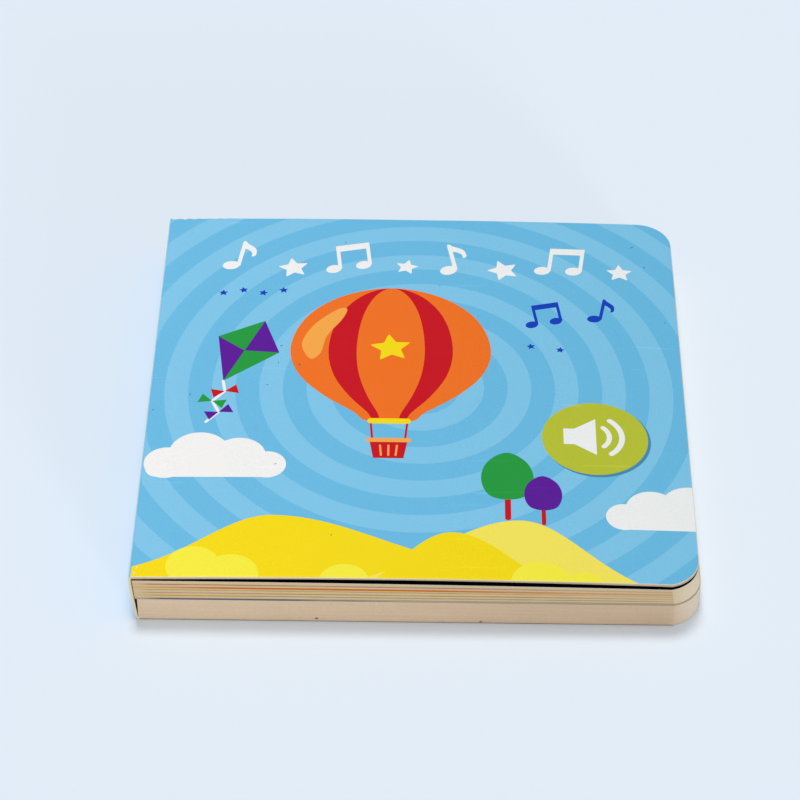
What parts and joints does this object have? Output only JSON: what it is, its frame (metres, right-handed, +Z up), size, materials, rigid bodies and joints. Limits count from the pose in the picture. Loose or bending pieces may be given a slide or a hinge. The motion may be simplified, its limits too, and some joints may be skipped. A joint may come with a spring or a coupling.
{
  "type": "sound board book",
  "caption": "Square children's board book with a hinged front cover, thick card leaves and a press-for-sound module inside its back block.",
  "frame": {"origin": "centre of the book's footprint, on the surface that the back cover lies on", "axes": "+Z up through the front cover, +X from the spine to the fore edge, +Y from the tail to the head"},
  "size_m": [0.1815, 0.1826, 0.0196],
  "materials": {
    "cover_card": "satin laminated printed card",
    "page_board": "cut edges of laminated board, printed faces",
    "block_board": "matt cut board",
    "module_plastic": "fine matt moulding",
    "switch_plastic": "matt",
    "button_rubber": "matt silicone",
    "board_laminate": "solder-masked circuit board",
    "chip_resin": "glossy potting resin",
    "cell_steel": "bright nickel-plated steel",
    "contact_steel": "nickel-plated spring steel",
    "screw_steel": "zinc-plated steel",
    "speaker_steel": "black pressed steel and magnet",
    "speaker_film": "thin film",
    "wire_red": "soft insulation",
    "wire_black": "soft insulation",
    "coil_copper": "enamelled copper winding"
  },
  "bodies": {
    "book": {"spine_and_back_cover": "cover_card", "page_block": "page_board", "back_block": "block_board", "module_tray": "module_plastic", "battery_door": "module_plastic", "door_screw": "screw_steel", "button_cell_1": "cell_steel", "button_cell_2": "cell_steel", "button_cell_3": "cell_steel", "contact_link_lower": "contact_steel", "contact_negative": "contact_steel", "contact_positive": "contact_steel", "contact_link_upper": "contact_steel", "circuit_board": "board_laminate", "sound_chip": "chip_resin", "board_screws": "screw_steel", "press_switch_bases": "switch_plastic", "slide_switch_body": "switch_plastic", "speaker_frame": "speaker_steel", "speaker_magnet": "speaker_steel", "speaker_cone": "speaker_film", "voice_coil": "coil_copper", "speaker_lead_red": "wire_red", "speaker_lead_black": "wire_black"},
    "cover": {"front_cover": "cover_card"},
    "switch": {"slide_switch_knob": "switch_plastic"},
    "button_1": {"press_button_1": "button_rubber"},
    "button_2": {"press_button_2": "button_rubber"},
    "button_3": {"press_button_3": "button_rubber"},
    "button_4": {"press_button_4": "button_rubber"},
    "button_5": {"press_button_5": "button_rubber"},
    "button_6": {"press_button_6": "button_rubber"}
  },
  "joints": [
    {"name": "front_cover_fold", "type": "hinge", "parent": "book", "child": "cover", "pos_m": [-0.0896, 0, 0.0184], "axis": [0, -1, 0], "range_deg": [0, 180]},
    {"name": "on_off_switch", "type": "slide", "parent": "book", "child": "switch", "axis": [1, 0, 0], "range_m": [0, 0.0024]},
    {"name": "press_point_1", "type": "slide", "parent": "book", "child": "button_1", "axis": [0, 0, -1], "range_m": [0, 0.00025], "stiffness_N_per_m": 1500, "springref_m": -0.0001},
    {"name": "press_point_2", "type": "slide", "parent": "book", "child": "button_2", "axis": [0, 0, -1], "range_m": [0, 0.00025], "stiffness_N_per_m": 1500, "springref_m": -0.0001},
    {"name": "press_point_3", "type": "slide", "parent": "book", "child": "button_3", "axis": [0, 0, -1], "range_m": [0, 0.00025], "stiffness_N_per_m": 1500, "springref_m": -0.0001},
    {"name": "press_point_4", "type": "slide", "parent": "book", "child": "button_4", "axis": [0, 0, -1], "range_m": [0, 0.00025], "stiffness_N_per_m": 1500, "springref_m": -0.0001},
    {"name": "press_point_5", "type": "slide", "parent": "book", "child": "button_5", "axis": [0, 0, -1], "range_m": [0, 0.00025], "stiffness_N_per_m": 1500, "springref_m": -0.0001},
    {"name": "press_point_6", "type": "slide", "parent": "book", "child": "button_6", "axis": [0, 0, -1], "range_m": [0, 0.00025], "stiffness_N_per_m": 1500, "springref_m": -0.0001}
  ]
}
